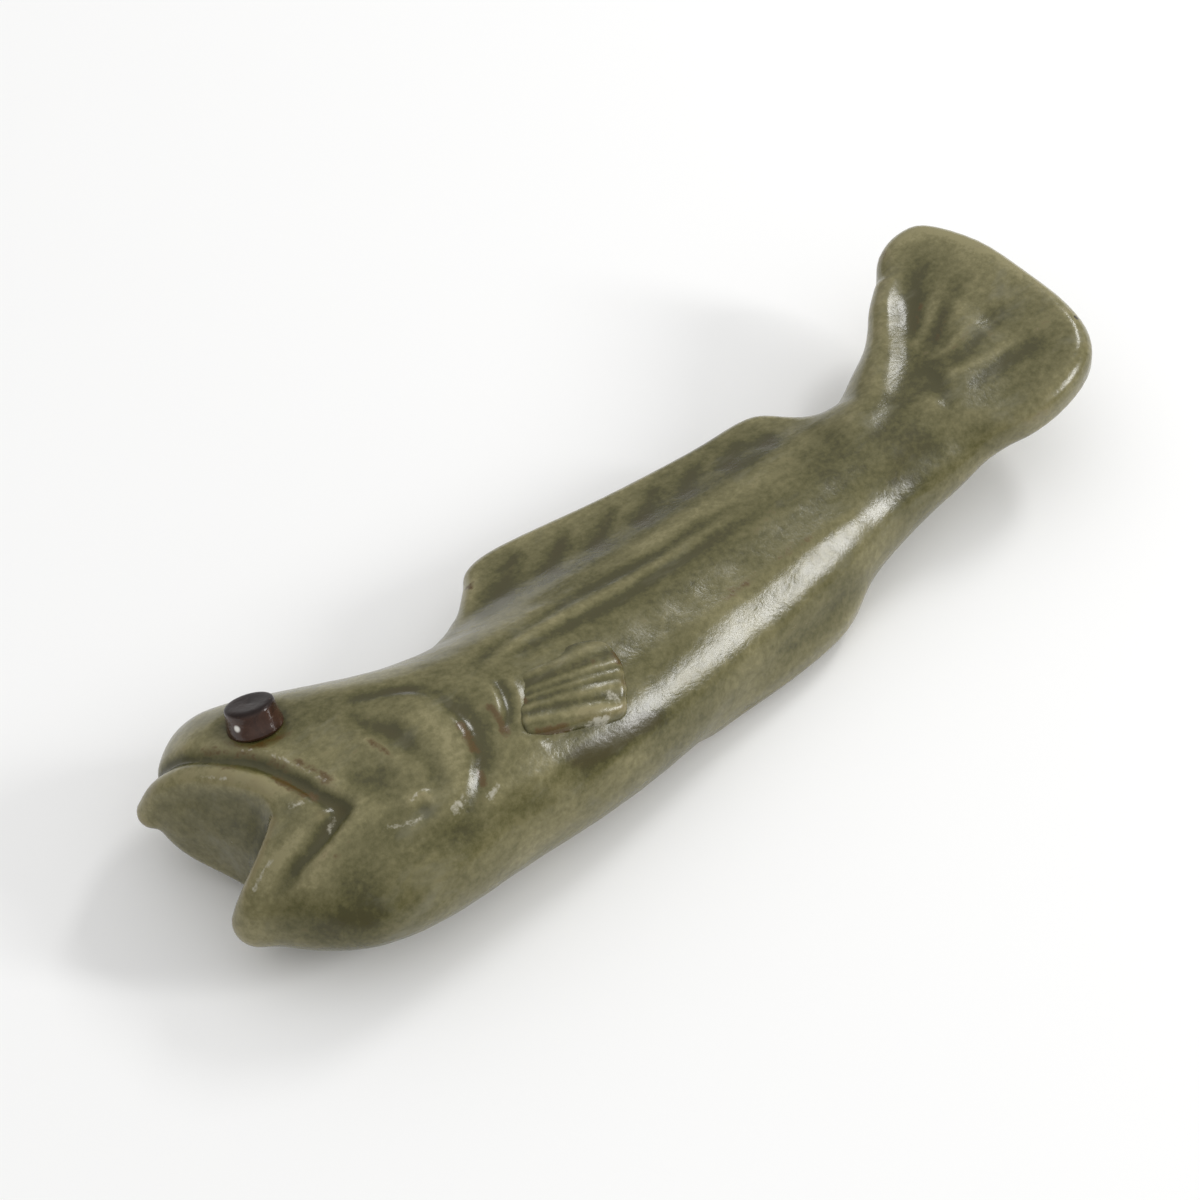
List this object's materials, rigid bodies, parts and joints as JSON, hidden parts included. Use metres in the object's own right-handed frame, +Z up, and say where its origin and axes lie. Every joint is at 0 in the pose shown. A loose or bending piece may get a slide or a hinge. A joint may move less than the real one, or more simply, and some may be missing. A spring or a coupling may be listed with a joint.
{
  "type": "chopstick rest",
  "caption": "Glazed stoneware chopstick rest shaped like a fish lying on its side, with a low back that chopsticks lie across and a flat unglazed foot.",
  "frame": {"origin": "on the flat unglazed foot, under the low back where chopsticks lie", "axes": "+X from the mouth to the tail, +Y to the back fin, +Z up from the table"},
  "size_m": [0.0835, 0.0261, 0.0134],
  "materials": {
    "celadon_glaze": "glossy olive grey-green ash glaze over buff stoneware, thin and brown along edges",
    "iron_glaze": "glossy dark iron-brown glaze"
  },
  "bodies": {
    "root": {"fish_body": "celadon_glaze", "pectoral_fin": "celadon_glaze", "eye_bead": "iron_glaze"}
  },
  "joints": []
}
